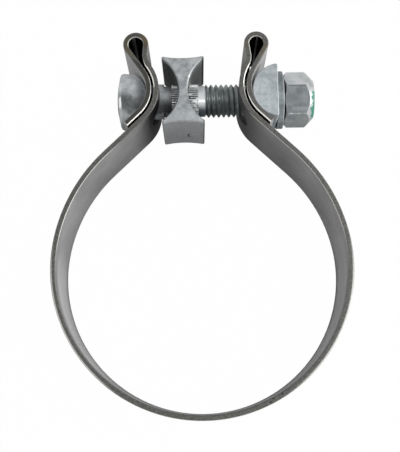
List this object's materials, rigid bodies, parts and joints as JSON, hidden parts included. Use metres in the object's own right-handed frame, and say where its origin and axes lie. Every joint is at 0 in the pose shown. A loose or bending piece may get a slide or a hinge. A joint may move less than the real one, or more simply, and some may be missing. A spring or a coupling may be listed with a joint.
{
  "type": "exhaust clamp",
  "caption": "Open band clamp for an exhaust pipe: a flat steel ring with two folded, slotted ears drawn together by a bolt through an hourglass block, half-round saddle, washer and nut",
  "frame": {"origin": "On the pipe axis, at the lower edge of the band, which the clamp lies on", "axes": "+Z is the pipe axis, +Y runs from the pipe axis up between the two ears, +X runs along the bolt from its head to the nut"},
  "size_m": [0.1086, 0.1432, 0.0318],
  "materials": {
    "strip_steel": "mill-finished strip steel with grey, slightly brown slit edges",
    "zinc_plate": "bright zinc plating, satin on the head",
    "galvanised_block": "dull galvanised, darker on the hollow flanks",
    "galvanised_saddle": "dull galvanised",
    "washer_steel": "dark, rough zinc",
    "nut_steel": "zinc plated, bright cone, green paint mark on the end"
  },
  "bodies": {
    "band": {"band": "strip_steel"},
    "bolt": {"bolt": "zinc_plate", "spacer_block": "galvanised_block"},
    "saddle": {"saddle": "galvanised_saddle"},
    "washer": {"washer": "washer_steel"},
    "nut": {"nut": "nut_steel"}
  },
  "joints": [
    {"name": "bolt_slide", "type": "slide", "parent": "band", "child": "bolt", "axis": [-1, 0, 0], "range_m": [0, 0.004]},
    {"name": "saddle_slide", "type": "slide", "parent": "bolt", "child": "saddle", "axis": [1, 0, 0], "range_m": [0, 0.006]},
    {"name": "nut_run", "type": "slide", "parent": "bolt", "child": "washer", "axis": [1, 0, 0], "range_m": [0, 0.008]},
    {"name": "nut_turn", "type": "hinge", "parent": "washer", "child": "nut", "pos_m": [0.036, 0.06672, 0.01588], "axis": [1, 0, 0], "range_deg": [0, 1475]}
  ],
  "couplings": [
    {"joint": "bolt_slide", "follows": "nut_run", "ratio": 0.5},
    {"joint": "saddle_slide", "follows": "nut_run", "ratio": 0.75},
    {"joint": "nut_turn", "follows": "nut_run", "rad_per_m": 3215.6}
  ]
}
